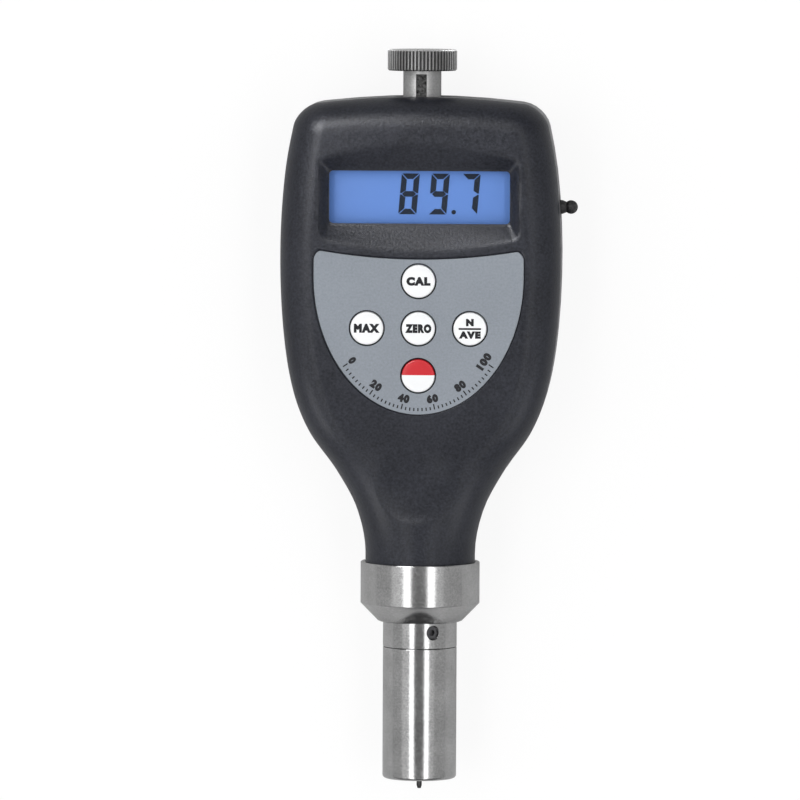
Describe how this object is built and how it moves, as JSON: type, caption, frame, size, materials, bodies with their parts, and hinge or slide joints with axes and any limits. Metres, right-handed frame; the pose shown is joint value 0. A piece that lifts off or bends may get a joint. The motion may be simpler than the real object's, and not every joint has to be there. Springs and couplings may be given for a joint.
{
  "type": "handheld digital durometer",
  "caption": "Handheld digital hardness tester: black moulded body with sunk display, keypad, knurled top knob and a steel collar carrying a sprung indenter in a presser foot.",
  "frame": {"origin": "on the flat back, below the widest section of the body and below the measuring axis", "axes": "+X to the right of the display, +Y along the measuring axis towards the thumb knob, +Z out of the display; it lies on its back"},
  "size_m": [0.0693, 0.1734, 0.0281],
  "materials": {
    "black_shell": "black moulded plastic with a fine spark texture",
    "screw_steel": "zinc-plated",
    "clear_lens": "clear moulded acrylic",
    "lcd_blue": "lit liquid-crystal panel",
    "diffuser_white": "white moulded plastic",
    "soft_grey": "layered conductive rubber",
    "board_green": "solder-masked laminate",
    "chip_black": "moulded package",
    "pad_grey": "printed grey film, fine texture",
    "key_white": "white moulded cap",
    "key_power": "white cap printed red over its upper half",
    "cell_wrap": "plain printed sleeve",
    "plated_spring": "nickel-plated",
    "black_rubber": "soft moulded rubber",
    "plated_knob": "bright plated, knurled rim",
    "brass_insert": "machined",
    "turned_steel": "fine turned steel",
    "dark_steel": "hardened, blackened",
    "spring_steel": "drawn spring wire",
    "copper_wire": "enamelled copper wire",
    "lead_grey": "insulated lead"
  },
  "bodies": {
    "case": {"front_shell": "black_shell", "rear_shell": "black_shell", "case_screws": "screw_steel", "display_lens": "clear_lens", "lcd_glass": "lcd_blue", "lcd_backlight": "diffuser_white", "lcd_connectors": "soft_grey", "circuit_board": "board_green", "board_chips": "chip_black", "board_screws": "screw_steel", "key_switches": "chip_black", "keypad_overlay": "pad_grey", "battery_1": "cell_wrap", "battery_2": "cell_wrap", "battery_3": "cell_wrap", "battery_4": "cell_wrap", "battery_springs": "plated_spring", "battery_contacts": "plated_spring", "data_jack": "chip_black", "thread_insert": "brass_insert", "probe_collar": "turned_steel", "set_screw": "dark_steel", "presser_foot": "turned_steel", "guide_bush": "brass_insert", "main_spring": "spring_steel", "spring_nut": "screw_steel", "coil_bobbin": "diffuser_white", "coil_winding": "copper_wire", "sensor_lead": "lead_grey"},
    "indenter": {"plunger": "turned_steel", "indenter_pin": "dark_steel", "sensor_core": "dark_steel"},
    "cal_key": {"key_cal": "key_white"},
    "max_key": {"key_max": "key_white"},
    "zero_key": {"key_zero": "key_white"},
    "average_key": {"key_average": "key_white"},
    "power_key": {"key_power": "key_power"},
    "knob": {"thumb_knob": "plated_knob"},
    "cover": {"battery_cover": "black_shell"},
    "plug": {"dust_plug": "black_rubber"}
  },
  "joints": [
    {"name": "indenter_slide", "type": "slide", "parent": "case", "child": "indenter", "axis": [0, 1, 0], "range_m": [0, 0.0025], "stiffness_N_per_m": 17780, "deforming": ["main_spring"]},
    {"name": "cal_press", "type": "slide", "parent": "case", "child": "cal_key", "axis": [0, 0, -1], "range_m": [0, 0.0004], "stiffness_N_per_m": 4000},
    {"name": "max_press", "type": "slide", "parent": "case", "child": "max_key", "axis": [0, 0, -1], "range_m": [0, 0.0004], "stiffness_N_per_m": 4000},
    {"name": "zero_press", "type": "slide", "parent": "case", "child": "zero_key", "axis": [0, 0, -1], "range_m": [0, 0.0004], "stiffness_N_per_m": 4000},
    {"name": "average_press", "type": "slide", "parent": "case", "child": "average_key", "axis": [0, 0, -1], "range_m": [0, 0.0004], "stiffness_N_per_m": 4000},
    {"name": "power_press", "type": "slide", "parent": "case", "child": "power_key", "axis": [0, 0, -1], "range_m": [0, 0.0004], "stiffness_N_per_m": 4000},
    {"name": "knob_turn", "type": "hinge", "parent": "case", "child": "knob", "pos_m": [0, 0.04, 0.0142], "axis": [0, 1, 0], "continuous": true},
    {"name": "cover_slide", "type": "slide", "parent": "case", "child": "cover", "axis": [0, 1, 0], "range_m": [0, 0.06]},
    {"name": "plug_pull", "type": "slide", "parent": "case", "child": "plug", "axis": [1, 0, 0], "range_m": [0, 0.012]}
  ]
}
